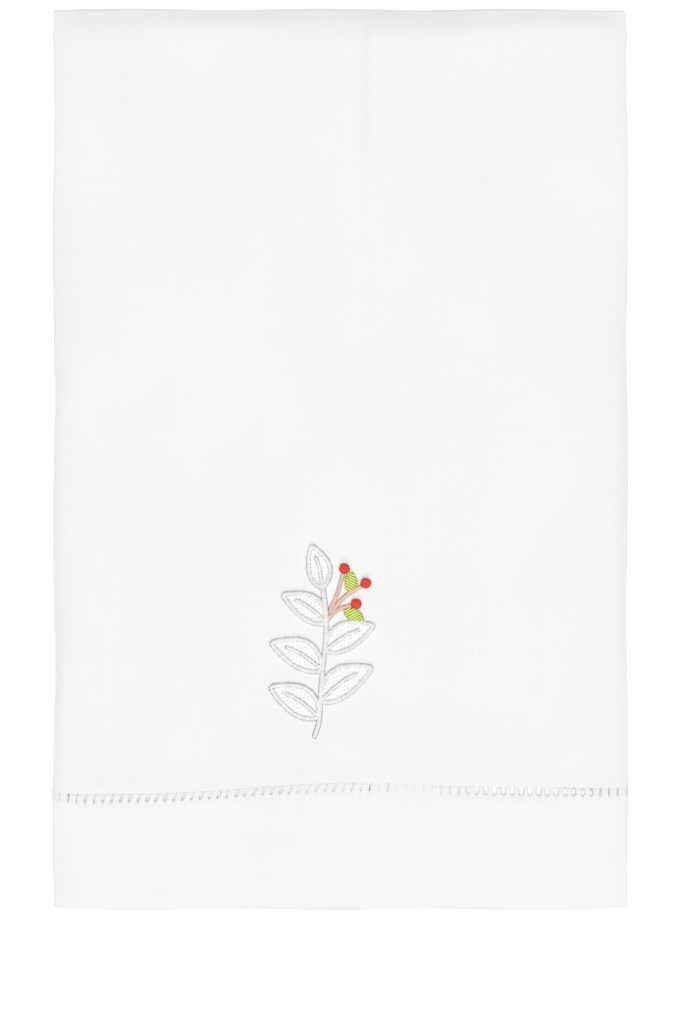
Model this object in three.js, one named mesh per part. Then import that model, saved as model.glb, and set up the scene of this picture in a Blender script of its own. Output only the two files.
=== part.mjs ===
// A hemstitched linen tea towel, folded in four for display. Both long sides are turned to the back,
// where they meet a little right of the middle, and the upper half is then folded behind the lower
// one. It lies face up on its back panel, with the deep hem towards -Y and the top fold towards +Y.
// Millimetres, +Z up. The origin is the centre of the rectangle that the folded towel covers.

import * as THREE from 'three';
import { mergeVertices } from 'three/addons/utils/BufferGeometryUtils.js';

// Driving dimensions. The finished cloth is 14 by 22 inches, so it folds to half of each.
const FOLDED_WIDTH = 178;
const FOLDED_LENGTH = 279.5;
const CLOTH_THICKNESS = 1;
const LAYER_GAP = 0.4;
const LAYERS = 4;

// The hem at each end is the cloth turned over and caught by a row of hemstitching.
const HEM_DEPTH = 36.5;
const HEMSTITCH_HEIGHT = 2.8;
const HEMSTITCH_SUNK = 0.25;
const BEVEL = 0.7;

// Where the edges of the two side flaps meet behind the front panel, and the room between them.
const MEETING_LINE = 8.7;
const MEETING_ROOM = 1;
// The flaps and the back panel stop short of the front hem's edge, so that only it shows.
const BACK_SHORT = 0.8;
const FLAP_SHORT = 1.6;

// Folding. A fold's radius is that of the cloth's middle surface in its outermost layer.
const PITCH = CLOTH_THICKNESS + LAYER_GAP;
const SIDE_RADIUS = PITCH / 2;
const TOP_RADIUS = PITCH * (LAYERS - 1) / 2;
const STACK_HEIGHT = LAYERS * CLOTH_THICKNESS + (LAYERS - 1) * LAYER_GAP;
const HALF_WIDTH = FOLDED_WIDTH / 2;
const HALF_LENGTH = FOLDED_LENGTH / 2;
const SIDE_LINE = HALF_WIDTH - SIDE_RADIUS - CLOTH_THICKNESS / 2;
const TOP_LINE = HALF_LENGTH - TOP_RADIUS - CLOTH_THICKNESS / 2;

// How the front hemstitch row runs: how far it rises above its straight course, by the distance
// across the cloth from the middle of the front panel. It comes level again on the hidden flaps.
const ROW_COURSE = [
  { across: -178, rise: 0 },
  { across: -89, rise: -1.9 },
  { across: -45, rise: -1.2 },
  { across: -17, rise: 0.7 },
  { across: 4, rise: 1.7 },
  { across: 24, rise: 1.1 },
  { across: 54, rise: -0.2 },
  { across: 89, rise: -0.1 },
  { across: 178, rise: 0 },
];
const ROW_COURSE_REACH = 90;

// Soft swells and hollows of the front: where each one's middle is, its half sizes, how far it
// leans clockwise from upright, in degrees, and how high it stands.
const SWELLS = [
  { name: 'left hollow', across: -48, along: -42, wide: 13, long: 75, lean: -6, height: -0.45 },
  { name: 'left swell', across: -74, along: -8, wide: 12, long: 62, lean: 0, height: 0.3 },
  { name: 'middle swell', across: 24, along: -10, wide: 20, long: 85, lean: -5, height: 0.4 },
  { name: 'upper swell', across: -20, along: 78, wide: 46, long: 38, lean: 0, height: 0.3 },
  { name: 'right hollow', across: 64, along: -52, wide: 10, long: 42, lean: 4, height: -0.35 },
  { name: 'corner hollow', across: 66, along: 112, wide: 26, long: 12, lean: -55, height: -0.4 },
  { name: 'hem hollow', across: -52, along: -126, wide: 10, long: 26, lean: 42, height: -0.4 },
  { name: 'hem swell', across: -12, along: -124, wide: 16, long: 20, lean: 20, height: 0.3 },
];

// The flaps' edges show through the front as a low ridge, clearest near the top fold.
const RIDGE = { wide: 4.5, height: 0.35, least: 0.25, from: 40, to: 128 };
// The stack is pressed thinner along its folds and stands a little taller over the hems.
const TOP_ROLL = { reach: 13, drop: 0.95 };
const SIDE_ROLL = { reach: 6, drop: 0.5 };
const HEM_RISE = 0.3;

// The outline's unevenness: waves along each edge, and how far it rounds in at the top corners.
const EDGE_WAVE = { height: 0.28, side: 83, end: 61, inward: 40 };
const CORNER = { reach: 3.2, left: 0.3, right: 1 };

// The longest cells of the cloth's grid, how many steps go round each fold, and the least
// distance from a flap's edge to the next line.
const GRID = { across: 14, along: 19, sideSteps: 6, topSteps: 8, least: 1 };

const LINEN = new THREE.Color(0.9, 0.9, 0.89);

// From 0 at a distance of nothing to 1 at the reach, with level ends.
function ease(distance, reach) {
  return THREE.MathUtils.smoothstep(distance, 0, reach);
}

// A smooth bump: 1 at the middle and near 0 from two half widths away.
function bump(distance, halfWidth) {
  return Math.exp(-((distance / halfWidth) ** 2));
}

// The height of a curve through a table's points, level at and past its ends.
function courseAt(course, across) {
  const last = course.length - 1;
  if (across <= course[0].across) return course[0].rise;
  if (across >= course[last].across) return course[last].rise;
  const i = course.findIndex((point) => point.across > across) - 1;
  const share = (across - course[i].across) / (course[i + 1].across - course[i].across);
  return THREE.MathUtils.lerp(course[i].rise, course[i + 1].rise, ease(share, 1));
}

// Folds the end of a flat stack under. A point lies a distance along it and a height above the
// layer whose radius is given. Past the line, it goes half round and comes back underneath.
function foldUnder(along, height, line, radius) {
  const past = along - line;
  const halfTurn = Math.PI * radius;
  if (past <= 0) return { along, height };
  if (past >= halfTurn) return { along: line - (past - halfTurn), height: -2 * radius - height };
  const angle = past / radius;
  return {
    along: line + (radius + height) * Math.sin(angle),
    height: -radius + (radius + height) * Math.cos(angle),
  };
}

// How much higher the front stands at a place than a dead flat stack's top.
function riseAt(x, y) {
  let rise = 0;
  for (const swell of SWELLS) {
    const lean = THREE.MathUtils.degToRad(swell.lean);
    const aside = (x - swell.across) * Math.cos(lean) - (y - swell.along) * Math.sin(lean);
    const ahead = (x - swell.across) * Math.sin(lean) + (y - swell.along) * Math.cos(lean);
    rise += swell.height * bump(aside, swell.wide) * bump(ahead, swell.long);
  }
  const ridgeShare = RIDGE.least + (1 - RIDGE.least) * ease(y - RIDGE.from, RIDGE.to - RIDGE.from);
  rise += RIDGE.height * ridgeShare * bump(x - MEETING_LINE, RIDGE.wide);
  rise -= TOP_ROLL.drop * (1 - ease(HALF_LENGTH - y, TOP_ROLL.reach));
  rise -= SIDE_ROLL.drop * (1 - ease(HALF_WIDTH - Math.abs(x), SIDE_ROLL.reach));
  rise += HEM_RISE * (1 - ease(y + HALF_LENGTH - HEM_DEPTH, HEMSTITCH_HEIGHT));
  return rise;
}

// Makes the outline uneven, without touching the middle of the towel.
function wander(x, y) {
  const nearSide = ease(Math.abs(x) - HALF_WIDTH + EDGE_WAVE.inward, EDGE_WAVE.inward);
  const nearEnd = ease(Math.abs(y) - HALF_LENGTH + EDGE_WAVE.inward, EDGE_WAVE.inward);
  const sideWave = Math.sin(2 * Math.PI * y / EDGE_WAVE.side + Math.sign(x));
  const endWave = Math.sin(2 * Math.PI * x / EDGE_WAVE.end + Math.sign(y));
  const inset = (x < 0 ? CORNER.left : CORNER.right) * ease(y - HALF_LENGTH + CORNER.reach, CORNER.reach);
  return {
    x: x + EDGE_WAVE.height * nearSide * sideWave - inset * x / HALF_WIDTH,
    y: y + EDGE_WAVE.height * nearEnd * endWave,
  };
}

// Where a point of the flat cloth lies once it is folded. It is measured across and along from
// the middle of the front panel, and up from the cloth's middle surface on its face side.
function placeOf(across, along, up) {
  const side = foldUnder(Math.abs(across), up, SIDE_LINE, SIDE_RADIUS);
  const fromHem = along + HALF_LENGTH;
  const bend = ease(fromHem, HEM_DEPTH) * (1 - ease(fromHem - HEM_DEPTH, ROW_COURSE_REACH));
  const rowRise = courseAt(ROW_COURSE, across) * bend;
  const turned = ease(Math.abs(across) - SIDE_LINE, 2 * SIDE_LINE);
  const drawnBack = FLAP_SHORT * turned * (1 - ease(fromHem, HALF_LENGTH));
  const top = foldUnder(along + rowRise + drawnBack, side.height, TOP_LINE, TOP_RADIUS);
  const x = Math.sign(across) * side.along;
  const y = top.along;
  const z = top.height + STACK_HEIGHT - CLOTH_THICKNESS / 2;
  const placed = wander(x, y);
  return new THREE.Vector3(placed.x, placed.y, z * (1 + riseAt(x, y) / STACK_HEIGHT));
}

// Numbers from one to another, both included, in even steps of at most the longest given.
function steps(from, to, longest) {
  const count = Math.ceil(Math.abs(to - from) / longest);
  return Array.from({ length: count + 1 }, (_, i) => from + (to - from) * i / count);
}

// Where the cloth's grid has its lines across it, from the left flap's edge to the right flap's.
// A flap has the panel's own lines under it, so that the layers' facets lie alike.
function linesAcross() {
  const flat = SIDE_LINE - SIDE_ROLL.reach;
  const ridge = [MEETING_LINE - 2 * RIDGE.wide, MEETING_LINE + 2 * RIDGE.wide];
  const panel = [
    ...steps(-SIDE_LINE, -flat, SIDE_ROLL.reach / 2),
    ...steps(-flat, ridge[0], GRID.across).slice(1),
    ...steps(ridge[0], ridge[1], RIDGE.wide).slice(1),
    ...steps(ridge[1], flat, GRID.across).slice(1),
    ...steps(flat, SIDE_LINE, SIDE_ROLL.reach / 2).slice(1),
  ];
  const halfTurn = Math.PI * SIDE_RADIUS;
  const bend = steps(SIDE_LINE, SIDE_LINE + halfTurn, halfTurn / GRID.sideSteps).slice(1, -1);
  const under = (x) => 2 * SIDE_LINE + halfTurn - x;
  const leftEdge = -(MEETING_LINE - MEETING_ROOM / 2);
  const rightEdge = MEETING_LINE + MEETING_ROOM / 2;
  const leftFlap = panel.filter((x) => -x > leftEdge + GRID.least).map((x) => -under(-x));
  const rightFlap = panel.filter((x) => x > rightEdge + GRID.least).map(under);
  const right = [...panel, ...bend, ...rightFlap, under(rightEdge)];
  const left = [-under(leftEdge), ...leftFlap, ...bend.map((x) => -x)];
  return [...left, ...right].sort((a, b) => a - b);
}

// Where the grid has its lines along the cloth, from the front hem's edge over the top fold to
// the back hem's edge. Each hemstitch row has four lines of its own, for its sunken band.
function linesAlong() {
  const row = -HALF_LENGTH + HEM_DEPTH;
  const half = HEMSTITCH_HEIGHT / 2;
  const band = [row - half - BEVEL, row - half, row + half, row + half + BEVEL];
  const front = [
    ...steps(-HALF_LENGTH, band[0], GRID.along).slice(0, -1),
    ...band,
    ...steps(band[3], TOP_LINE - TOP_ROLL.reach, GRID.along).slice(1),
    ...steps(TOP_LINE - TOP_ROLL.reach, TOP_LINE, TOP_ROLL.reach / 4).slice(1),
  ];
  const halfTurn = Math.PI * TOP_RADIUS;
  const bend = steps(TOP_LINE, TOP_LINE + halfTurn, halfTurn / GRID.topSteps).slice(1, -1);
  const under = (y) => 2 * TOP_LINE + halfTurn - y;
  const edge = -HALF_LENGTH + BACK_SHORT;
  const back = front.filter((y) => y > edge + GRID.least).map(under);
  return [...front, ...bend, ...back, under(edge)].sort((a, b) => a - b);
}

// How far the face is sunk at a place along the cloth, for the two hemstitch rows.
function sunkAt(along) {
  const back = 2 * TOP_LINE + Math.PI * TOP_RADIUS + HALF_LENGTH - HEM_DEPTH;
  const front = -HALF_LENGTH + HEM_DEPTH;
  const away = Math.min(Math.abs(along - front), Math.abs(along - back)) - HEMSTITCH_HEIGHT / 2;
  return HEMSTITCH_SUNK * (1 - ease(away, BEVEL));
}

// The towel as one closed sheet: a flat slab with a grid on it, whose every point is put where
// the folds take it.
function towelGeometry() {
  const across = linesAcross();
  const along = linesAlong();
  const columns = across.length - 1;
  const rows = along.length - 1;
  const slab = new THREE.BoxGeometry(columns, rows, CLOTH_THICKNESS, columns, rows, 1);
  const points = slab.getAttribute('position');
  for (let i = 0; i < points.count; i++) {
    const column = Math.round(points.getX(i) + columns / 2);
    const row = Math.round(points.getY(i) + rows / 2);
    const sunk = points.getZ(i) > 0 ? sunkAt(along[row]) : 0;
    const place = placeOf(across[column], along[row], points.getZ(i) - sunk);
    points.setXYZ(i, place.x, place.y, place.z);
  }
  slab.deleteAttribute('normal');
  slab.deleteAttribute('uv');
  return mergeVertices(slab, 1e-4);
}

function towel() {
  const material = new THREE.MeshStandardMaterial({ color: LINEN, roughness: 0.9, metalness: 0 });
  const mesh = new THREE.Mesh(towelGeometry(), material);
  mesh.name = 'towel';
  return mesh;
}

const group = new THREE.Group();
group.add(towel());

export default group;
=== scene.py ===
"""A hemstitched linen tea towel, folded in four, with a small embroidered sprig.

Both long sides are turned to the back, where they meet a little right of the middle, and the upper
half is folded behind the lower one. Every piece is made flat, in the cloth's own measures, and
lay() then puts each of its points where the folds take it. Metres, +Z up, as in the CAD frame.
"""

import math

import bpy
import numpy as np
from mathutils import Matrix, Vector


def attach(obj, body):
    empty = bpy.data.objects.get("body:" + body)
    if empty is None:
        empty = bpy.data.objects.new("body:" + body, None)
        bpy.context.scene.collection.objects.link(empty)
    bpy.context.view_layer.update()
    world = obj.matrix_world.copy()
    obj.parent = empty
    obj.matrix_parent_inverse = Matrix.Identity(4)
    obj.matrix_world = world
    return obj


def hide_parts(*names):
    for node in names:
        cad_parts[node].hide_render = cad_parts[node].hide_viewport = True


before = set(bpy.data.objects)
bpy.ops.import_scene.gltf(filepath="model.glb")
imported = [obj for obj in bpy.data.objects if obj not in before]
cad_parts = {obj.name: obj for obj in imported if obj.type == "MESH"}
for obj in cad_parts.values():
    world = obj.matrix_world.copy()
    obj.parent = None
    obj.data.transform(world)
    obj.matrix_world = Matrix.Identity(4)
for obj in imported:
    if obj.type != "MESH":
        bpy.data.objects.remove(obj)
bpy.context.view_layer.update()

MM = 0.001

# The folded towel, as in the CAD model, in cloth of about the real linen's thickness.
FOLDED_WIDTH = 178 * MM
FOLDED_LENGTH = 279.5 * MM
PLY = 0.3 * MM
HALF_WIDTH = FOLDED_WIDTH / 2
HALF_LENGTH = FOLDED_LENGTH / 2

# How far apart the layers' middles are at the hems, where each is double: a panel and its flaps,
# and the front's flaps and the back's. Above the hems each is single and settles on its neighbour.
PAIR_PITCH = 1.02 * MM
MIDDLE_PITCH = 0.76 * MM
SETTLING = 0.3 * MM
STACK = PLY + 2 * PAIR_PITCH + MIDDLE_PITCH

# A fold's radius is that of the cloth's middle surface in its outermost layer, and a fold's line
# is where the cloth starts to turn. A pressed fold reaches less far out than a round one would.
SIDE_RADIUS = PAIR_PITCH / 2
TOP_RADIUS = PAIR_PITCH + MIDDLE_PITCH / 2
HEM_RADIUS = 0.165 * MM
SIDE_REACH = 0.6
TOP_REACH = 0.62
SHARPEST_SMOOTH = 70
SIDE_LINE = HALF_WIDTH - SIDE_REACH * (SIDE_RADIUS - SETTLING + PLY / 2)
TOP_LINE = HALF_LENGTH - TOP_REACH * (TOP_RADIUS - SETTLING + PLY / 2)

# The flaps' edges meet behind the front, and the flaps and the back stop short of the front hem.
MEETING_LINE = 8.7 * MM
MEETING_ROOM = 1 * MM
BACK_SHORT = 0.8 * MM
FLAP_SHORT = 1.6 * MM

# The cloth's own measures: across it from the middle of the front panel, and along it from the
# front hem's edge at -HALF_LENGTH, over the top fold, to the back hem's edge at BACK_END.
LEFT_END = -(2 * SIDE_LINE + math.pi * SIDE_RADIUS + MEETING_LINE - MEETING_ROOM / 2)
RIGHT_END = 2 * SIDE_LINE + math.pi * SIDE_RADIUS - MEETING_LINE - MEETING_ROOM / 2
BACK_END = 2 * TOP_LINE + math.pi * TOP_RADIUS + HALF_LENGTH - BACK_SHORT

# Hems. Each is turned to the wrong side and caught along a row of hemstitching.
HEM_DEPTH = 36.5 * MM
FRONT_ROW = -HALF_LENGTH + HEM_DEPTH
BACK_ROW = BACK_END - HEM_DEPTH
FRONT_HEM_LINE = HALF_LENGTH - HEM_RADIUS - PLY / 2
BACK_HEM_LINE = BACK_END - HEM_RADIUS - PLY / 2
BAND_HALF = 1.9 * MM
HEM_SLOPE = 8 * MM
TURNING = HEM_DEPTH - BAND_HALF - HEM_RADIUS

# Hemstitching: its stitches, how far a hole reaches under its strands, the cloth's thickness at a
# hole's rim and over the rest of the row, and the least and greatest width of a rung of threads.
STITCHES = 130
STITCH = (RIGHT_END - LEFT_END) / STITCHES
HOLE_HEIGHT = 2.7 * MM
UNDER_STRAND = 0.08 * MM
HOLE_PLY = 0.12 * MM
RUNG_PLY = 0.16 * MM
RUNG_LEAST = 0.85 * MM
RUNG_MOST = 3.05 * MM
LEAST_HOLE = 0.04 * MM
RUNG_UNEVEN = 0.13 * MM
RUNG_WAVE = 0.83 * MM
HOLE_SQUARENESS = 4

# How the hemstitch rows run, by place across the cloth in mm: the row's rise in mm above a
# straight course, its threads' lean to the right as a share of their height, how tightly they are
# drawn into rungs, from 0 to 1, and how deep in mm the front sinks there towards the layer beneath.
# The front reaches from -89 to 89, the flaps beyond.
ROW = [
    dict(across=-188, rise=4.45, lean=0, drawn=0.65, sunk=0),
    dict(across=-160, rise=3.85, lean=0, drawn=0.56, sunk=0),
    dict(across=-133, rise=2.45, lean=0, drawn=0.65, sunk=0),
    dict(across=-106, rise=1.85, lean=0, drawn=0.56, sunk=0),
    dict(across=-97, rise=0.75, lean=0, drawn=0.38, sunk=0),
    dict(across=-90, rise=-1.05, lean=0, drawn=0, sunk=0),
    dict(across=-84, rise=-1.65, lean=0.15, drawn=0.34, sunk=0.05),
    dict(across=-68, rise=-1.55, lean=0.34, drawn=0.47, sunk=0.1),
    dict(across=-45, rise=-0.95, lean=0.36, drawn=0.5, sunk=0.1),
    dict(across=-17, rise=1.05, lean=0.38, drawn=0.45, sunk=0.16),
    dict(across=4, rise=1.85, lean=0.3, drawn=0.36, sunk=0.26),
    dict(across=12, rise=1.75, lean=0.15, drawn=0.2, sunk=0.3),
    dict(across=20, rise=1.55, lean=0, drawn=0.03, sunk=0.32),
    dict(across=32, rise=1.05, lean=0, drawn=0.15, sunk=0.3),
    dict(across=42, rise=0.75, lean=0, drawn=0.65, sunk=0.3),
    dict(across=56, rise=0.4, lean=0, drawn=0.8, sunk=0.3),
    dict(across=70, rise=0.25, lean=0, drawn=0.73, sunk=0.27),
    dict(across=80, rise=0.15, lean=0, drawn=0.42, sunk=0.15),
    dict(across=86, rise=0.15, lean=0, drawn=0.15, sunk=0),
    dict(across=91, rise=0.45, lean=0, drawn=0, sunk=0),
    dict(across=97, rise=1.45, lean=0, drawn=0.38, sunk=0),
    dict(across=104, rise=2.45, lean=0, drawn=0.56, sunk=0),
    dict(across=118, rise=3.65, lean=0, drawn=0.47, sunk=0),
    dict(across=150, rise=4.35, lean=0, drawn=0.47, sunk=0),
    dict(across=172, rise=4.95, lean=0, drawn=0.56, sunk=0),
]
SUNK_REACH = 8 * MM
SUNK_FROM_SIDE = 5 * MM
ROW_REACH = 90 * MM
LEAN_REACH = 3.2 * MM

# Soft swells and hollows of the front, in mm: middle, half sizes, lean clockwise from upright in
# degrees, and height.
SWELLS = [
    dict(across=-49, along=-40, wide=9, long=70, lean=-4, height=-0.75),
    dict(across=-70, along=-8, wide=11, long=62, lean=0, height=0.35),
    dict(across=24, along=-10, wide=20, long=85, lean=-5, height=0.55),
    dict(across=-20, along=78, wide=46, long=38, lean=0, height=0.35),
    dict(across=68, along=-72, wide=7, long=34, lean=4, height=-0.5),
    dict(across=72, along=128, wide=26, long=22, lean=0, height=-1.1),
    dict(across=-74, along=132, wide=22, long=16, lean=0, height=-0.6),
    dict(across=-50, along=-124, wide=7, long=24, lean=48, height=-0.6),
    dict(across=-12, along=-124, wide=16, long=20, lean=20, height=0.4),
    dict(across=90, along=-124, wide=6, long=24, lean=0, height=-0.9),
    dict(across=-90, along=-124, wide=3.5, long=24, lean=0, height=-0.6),
]
# Small puckers that the stitches draw in the cloth round the sprig, measured as the swells are.
PUCKERS = [
    dict(across=-25, along=-40, wide=1.8, long=6, lean=-48, height=0.1),
    dict(across=-27, along=-62, wide=2.0, long=6, lean=-80, height=0.1),
    dict(across=-22, along=-80, wide=2.0, long=7, lean=52, height=-0.1),
    dict(across=-6, along=-93, wide=2.2, long=6, lean=4, height=0.12),
    dict(across=10, along=-84, wide=2.0, long=7, lean=-40, height=0.1),
    dict(across=17, along=-66, wide=2.0, long=7, lean=84, height=-0.1),
    dict(across=18, along=-44, wide=1.9, long=7, lean=60, height=0.12),
    dict(across=8, along=-24, wide=1.8, long=6, lean=22, height=-0.1),
    dict(across=-8, along=-22, wide=2.0, long=6, lean=-10, height=0.1),
]
# The flaps' edges show through as a low ridge, clearest near the top fold.
RIDGE_LINE = MEETING_LINE + 1 * MM
RIDGE_LEFT = 2.5 * MM
RIDGE_RIGHT = 10 * MM
RIDGE_HEIGHT = 1.4 * MM
RIDGE_LEAST = 0.15
RIDGE_FROM = 50 * MM
RIDGE_TO = 112 * MM
# The stack's two halves lie a little apart in the middle of the towel. Along the folds the stack is
# flattened, from 0 to 1: its halves come together and its layers thin. Where two folds meet, the
# corner is spared some of that. A crease presses each side's last millimetres flatter still, most
# of all the left's, and fades out along the side. The higher a fade's power, the closer its
# flattening keeps to its fold. A low ridge runs along the front hem's inner edge.
HALVES_APART = 2.3 * MM
APART_AT_HEM = 0.5
HALVES_CLOSED = 0.96
THINNED = 0.3
TOP_FLATTENED = 0.8
TOP_TILT = 0.07
TOP_ROLL = 10.5 * MM
TOP_FADE = 2
SIDE_FLATTENED = 0.6
SIDE_ROLL = 13 * MM
SIDE_FADE = 2.4
CREASE = 0.4
CREASE_ROLL = 2.6 * MM
CREASE_AT = -50 * MM
CREASE_LENGTH = 110 * MM
CREASE_FADE = 1.2
CREASE_ON_RIGHT = 0.5
CORNER_SPARED = 1.2
HEM_RISE = 0.4 * MM
HEM_RIDGE = 12 * MM
SETTLING_REACH = 60 * MM
FLAP_SETTLED = 7 * MM
# The outline's waves, and how far it rounds in at the top corners.
WAVE = 0.28 * MM
WAVE_SIDE = 83 * MM
WAVE_END = 61 * MM
WAVE_REACH = 40 * MM
CORNER_REACH = 3.2 * MM
CORNER_LEFT = 0.3 * MM
CORNER_RIGHT = 1 * MM
# No two layers wave alike under the front one: how far they lift, how far their hems part, and how
# much of that is even. The lengths of these waves are for one radian.
LAYER_LIFT = 0.14 * MM
LIFT_ACROSS = 17 * MM
LIFT_ALONG = 26 * MM
LAYER_SLIP = 1.1 * MM
EVEN_SLIP = 0.6
SLIP_ACROSS = 23 * MM
# By how many radians each wave shifts from the front down to the floor, or back up.
OUTLINE_SHIFT = 2
SLIP_SHIFT = 5
LIFT_SHIFT_ACROSS = 6
LIFT_SHIFT_ALONG = 7

# The grid's cell over most of the cloth is one stitch wide. It is halved in these places, and a
# line lies near the start of each fold, so that the fold's shading doesn't spread from it.
NEAR_FOLD = 0.35 * MM
FINE_ALONG = (-92 * MM, -22 * MM)
HALVED_ACROSS = [(-27 * MM, 20 * MM), (-SIDE_LINE, -76 * MM), (76 * MM, SIDE_LINE)]
QUARTERED_ACROSS = (5 * MM, 15 * MM)
# The longest cells along the cloth: where it is hidden, on the front, in its hem, where the stack
# rolls off to the top fold, and under the sprig. Then the steps round each fold.
HIDDEN_CELL = 7 * MM
FRONT_CELL = 3.5 * MM
HEM_CELL = 2.8 * MM
ROLL_CELL = 1.8 * MM
SPRIG_CELL = 1.4 * MM
HEM_TURN_STEPS = 5
TOP_TURN_STEPS = 12
SIDE_TURN_LINES = np.linspace(-0.15, 1.15, 9)
# The least room between two lines, and between two of one stitch. Places less than a hair apart are
# one, and so are two points with the same place in small units.
LEAST_CELL = 0.12 * MM
LEAST_STITCH_CELL = 0.2 * MM
HAIR = 1e-9
UNITS_PER_METRE = 1e8

# Threads, by radius, how flat they are pressed, and how far from its end a stitch's painted shade
# reaches, where it dives into the cloth.
WARP_THREAD = 0.12 * MM
WARP_FLATNESS = 0.4
SEWING_THREAD = 0.07 * MM
EMBROIDERY_THREAD = 0.25 * MM
EMBROIDERY_FLATNESS = 0.5
END_SHADE_REACH = 0.58 * MM

# A rung's strands, from its hem's end to the other, in mm: how far along, how high above the
# cloth's middle, and how tightly gathered, from 0 to 1.
STRAND_COURSE = [
    dict(along=-1.75, height=-0.06, gathered=0),
    dict(along=-1.4, height=0.04, gathered=0.25),
    dict(along=-0.95, height=0.04, gathered=0.9),
    dict(along=-0.35, height=0.03, gathered=1),
    dict(along=0.35, height=0.03, gathered=1),
    dict(along=0.95, height=0.04, gathered=0.9),
    dict(along=1.4, height=0.04, gathered=0.25),
    dict(along=1.75, height=-0.06, gathered=0),
]
STRANDS_IN_RUNG = 7
STRAND_UNEVEN = 0.03 * MM
# Every second strand lies a little higher than the others, but for the rung's ends.
HIGH_STRAND = 0.03
LOW_STRAND = -0.02
STRANDS_LEVEL_FROM = 1.2 * MM
STRANDS_LEVEL_OVER = 0.3 * MM

# The sewing thread's turns round a rung, in mm from the row's middle, and their shape. The thread
# stands proud where the rungs are drawn in, but the turns on the hem's side sink into its edge.
WRAPS_AT = (0.98, 1.12)
WRAP_ROOM = 0.08 * MM
WRAP_SLANT = 0.04 * MM
WRAP_HEIGHT = 0.11 * MM
SEWING_PROUD = 0.12 * MM
FULLY_DRAWN = 0.4
HEM_WRAP_SUNK = 0.06 * MM
# Its small stitches beside the row: their start and length as shares of a rung's pitch.
SMALL_STITCH_FROM = 0.18
SMALL_STITCH_LENGTH = 0.64
SMALL_STITCH_AT = 1.78 * MM
SMALL_STITCH_OFF = 0.06 * MM
SMALL_STITCH_BASE = 0.02 * MM
SMALL_STITCH_CROWN = 0.13 * MM
SMALL_STITCH_UNEVEN = 0.05 * MM

# The sprig's middle on the cloth, and its lines, in mm from there.
SPRIG_AT = (-5.6 * MM, -57.3 * MM)
STEM = [(-2.6, -30.4), (-1.2, -26), (-0.6, -18), (0.2, -8), (1.2, 2), (1.0, 11), (0, 18)]
LEAVES = [
    dict(base=(-1.0, -24), toward=146, length=18, width=8.6, bend=-1.2),
    dict(base=(-0.6, -19), toward=34, length=19, width=9, bend=1.4),
    dict(base=(-0.1, -9), toward=150, length=18, width=8.4, bend=-1.4),
    dict(base=(0.7, -3), toward=28, length=17, width=8, bend=1.2),
    dict(base=(1.2, 6), toward=146, length=16, width=7.4, bend=-1.2),
    dict(base=(0, 17), toward=104, length=13.6, width=6.6, bend=-0.6),
]
STALKS = [
    [(1.6, 7), (4.6, 10), (9.0, 11.6)],
    [(2.6, 9), (6.6, 14.0), (12.0, 17.6)],
    [(2.2, 9.6), (4.8, 15.6), (6.4, 21.6)],
]
BERRIES = [(10.4, 12.0), (13.4, 18.6), (6.8, 23.2)]
BERRY_RADIUS = 1.6
LIME_LEAVES = [
    dict(base=(6.6, 9.9), toward=-32, length=7.6, width=4.2, bend=0.5),
    dict(base=(8.5, 15.5), toward=91, length=7.4, width=4.0, bend=-0.4),
]
LEAF_BLUNTNESS = 0.85

# Its stitches, in mm. Satin lines: their width, how high they arch and what height they start from.
STEM_LINE = dict(width=1.5, crown=0.45)
OUTLINE = dict(width=1.4, crown=0.45)
VEIN = dict(width=1.1, crown=0.34, base=0.12)
STALK_LINE = dict(width=1.2, crown=0.45)
SATIN_SPACING = 0.46
SATIN_SLANT = 0.3
SATIN_UNEVEN = 0.05
# Fills: their direction in degrees, the room between rows, and the rest as for a line. Without a
# stitch length each row is one long stitch. The lime leaves have a flat layer along them, at a dark
# tone that paints shade between the open, paler rows across it.
WHITE_FILL = dict(toward=0, spacing=0.42, crown=0.16, stitch=3.4)
RED_FILL = dict(toward=70, spacing=0.34, crown=0.62, base=0.12)
LIME_UNDER = dict(spacing=0.42, crown=0.12)
LIME_OVER = dict(spacing=0.74, crown=0.4, base=0.1)
LIME_TURN = 62
LIME_UNDER_SHADE = 3
LIME_OVER_TONE = 0
LEAST_PIECE = 0.6
FILL_UNEVEN = 0.03
# How far in from its end a stitch rises, in mm, and at most as a share of its length, and its arch.
RISES_OVER = 0.34
RISES_AT_MOST = 0.26
ARCH = np.array([0, 0.5, 0.88, 1, 0.88, 0.5, 0])

# Thread colours, linear: where a stitch lies open to the light, and its painted shade where it dives
# into the cloth, which in the silver is partly the thread's own grey.
LINEN_THREAD = ((0.95, 0.95, 0.945), (0.92, 0.92, 0.915))
SILVER = ((0.96, 0.96, 0.955), (0.25, 0.25, 0.245))
WHITE = ((0.98, 0.98, 0.98), (0.86, 0.86, 0.87))
LIME = ((0.85, 0.98, 0.27), (0.34, 0.4, 0.03))
RED = ((0.8, 0.055, 0.035), (0.2, 0.012, 0.004))
PINK = ((0.95, 0.68, 0.57), (0.28, 0.13, 0.035))

# The linen: its threads' pitch, how proud each ridge, each crossing, the thick threads and the
# fluff stand, as shares of a thread's height, and the height itself.
LINEN_PITCH = 0.5 * MM
RIDGE_SHARE = 0.6
CROSSING_SHARE = 0.4
SLUB_SHARE = 0.9
SLUB_LENGTH = 40 * MM
FLUFF_SHARE = 0.35
FLUFF_CELL = (0.2 * MM, 0.2 * MM)
LINEN_RELIEF = 0.06 * MM
# Its colours, linear, and what makes it paler: a thread's height, which paints shade in the weave's
# hollows, its clouds, and being double, which paints the light of two plies that let less shade
# through.
LINEN_DARK = (0.83, 0.831, 0.825)
LINEN_PALE = (0.935, 0.935, 0.93)
CLOUD_CELL = (38 * MM, 55 * MM)
WEAVE_HOLLOW_SHADE = 0.5
TONE_OF_CLOUDS = 0.6
HEM_PAINTED_LIGHT = 0.15
TONE_AT_LEAST = -0.14

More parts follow.
